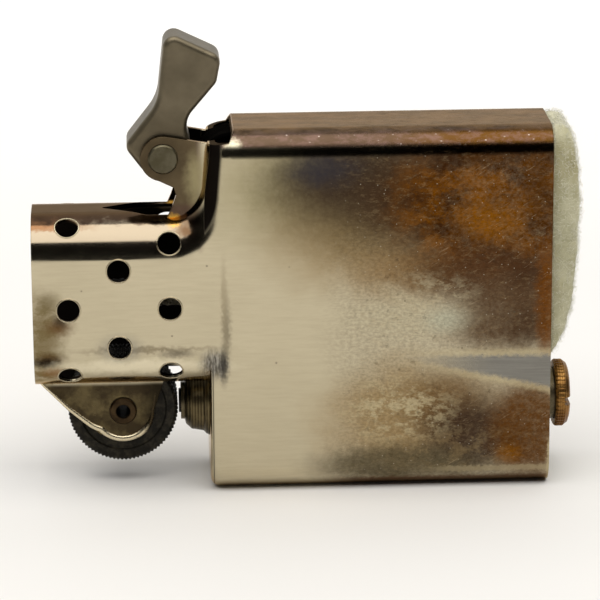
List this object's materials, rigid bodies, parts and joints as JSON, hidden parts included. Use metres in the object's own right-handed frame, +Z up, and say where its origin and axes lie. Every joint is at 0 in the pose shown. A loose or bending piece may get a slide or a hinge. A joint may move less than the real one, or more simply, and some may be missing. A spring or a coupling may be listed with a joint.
{
  "type": "lighter insert",
  "caption": "Flip-top windproof lighter insert on its side: steel body, perforated chimney, toothed spark wheel, snap cam lever, felt base and slotted screw.",
  "frame": {"origin": "centre of the bounding box's base; the insert lies on its narrow wheel side", "axes": "+X from the chimney mouth to the bottom end with the felt, +Y through the thickness, +Z up from the wheel side to the cam side"},
  "size_m": [0.0528, 0.0112, 0.0449],
  "materials": {
    "shell_steel": "worn satin, heat and oil stained",
    "inner_steel": "dull plated steel",
    "cam_steel": "matte plated steel",
    "wheel_steel": "blackened, toothed",
    "rivet_steel": "dull steel",
    "brass": "tarnished brass",
    "copper": "bare copper",
    "spring_steel": "spring steel",
    "flint_alloy": "sintered alloy",
    "wick_cotton": "braided cotton, charred tip",
    "packing_cotton": "loose cotton",
    "felt": "dense wool felt"
  },
  "bodies": {
    "insert": {"insert_shell": "shell_steel", "deck_plate": "inner_steel", "wick_eyelet": "brass", "wick_braid": "wick_cotton", "wick_core_wire": "copper", "flint_tube": "inner_steel", "tube_ferrule": "inner_steel", "wheel_rivet": "rivet_steel", "cam_rivet": "rivet_steel", "cam_spring": "spring_steel", "felt_anchor": "felt", "packing_ball_1": "packing_cotton", "packing_ball_2": "packing_cotton", "packing_ball_3": "packing_cotton", "packing_ball_4": "packing_cotton", "packing_ball_5": "packing_cotton"},
    "wheel": {"spark_wheel": "wheel_steel"},
    "cam": {"cam_lever": "cam_steel"},
    "flint_set": {"flint": "flint_alloy", "flint_nib": "brass"},
    "spring_seat": {"flint_spring": "spring_steel"},
    "screw": {"flint_screw": "brass"},
    "felt": {"felt_flap": "felt"}
  },
  "joints": [
    {"name": "wheel_spin", "type": "hinge", "parent": "insert", "child": "wheel", "pos_m": [-0.01792, 0, 0.0078], "axis": [0, 1, 0], "continuous": true},
    {"name": "cam_pivot", "type": "hinge", "parent": "insert", "child": "cam", "pos_m": [-0.01361, 0, 0.03307], "axis": [0, -1, 0], "range_deg": [0, 105], "deforming": ["cam_spring"]},
    {"name": "flint_press", "type": "slide", "parent": "insert", "child": "flint_set", "axis": [1, 0, 0], "range_m": [0, 0.002], "stiffness_N_per_m": 60, "springref_m": -0.004, "deforming": ["flint_spring"]},
    {"name": "screw_travel", "type": "slide", "parent": "insert", "child": "spring_seat", "axis": [1, 0, 0], "range_m": [0, 0.003], "deforming": ["flint_spring"]},
    {"name": "screw_turn", "type": "hinge", "parent": "spring_seat", "child": "screw", "pos_m": [0.02378, 0, 0.0078], "axis": [1, 0, 0], "range_deg": [0, 1800]},
    {"name": "felt_lift", "type": "hinge", "parent": "insert", "child": "felt", "pos_m": [0.02417, 0, 0.0134], "axis": [0, 1, 0], "range_deg": [0, 70]}
  ],
  "couplings": [
    {"joint": "screw_turn", "follows": "screw_travel", "rad_per_m": 10472}
  ]
}
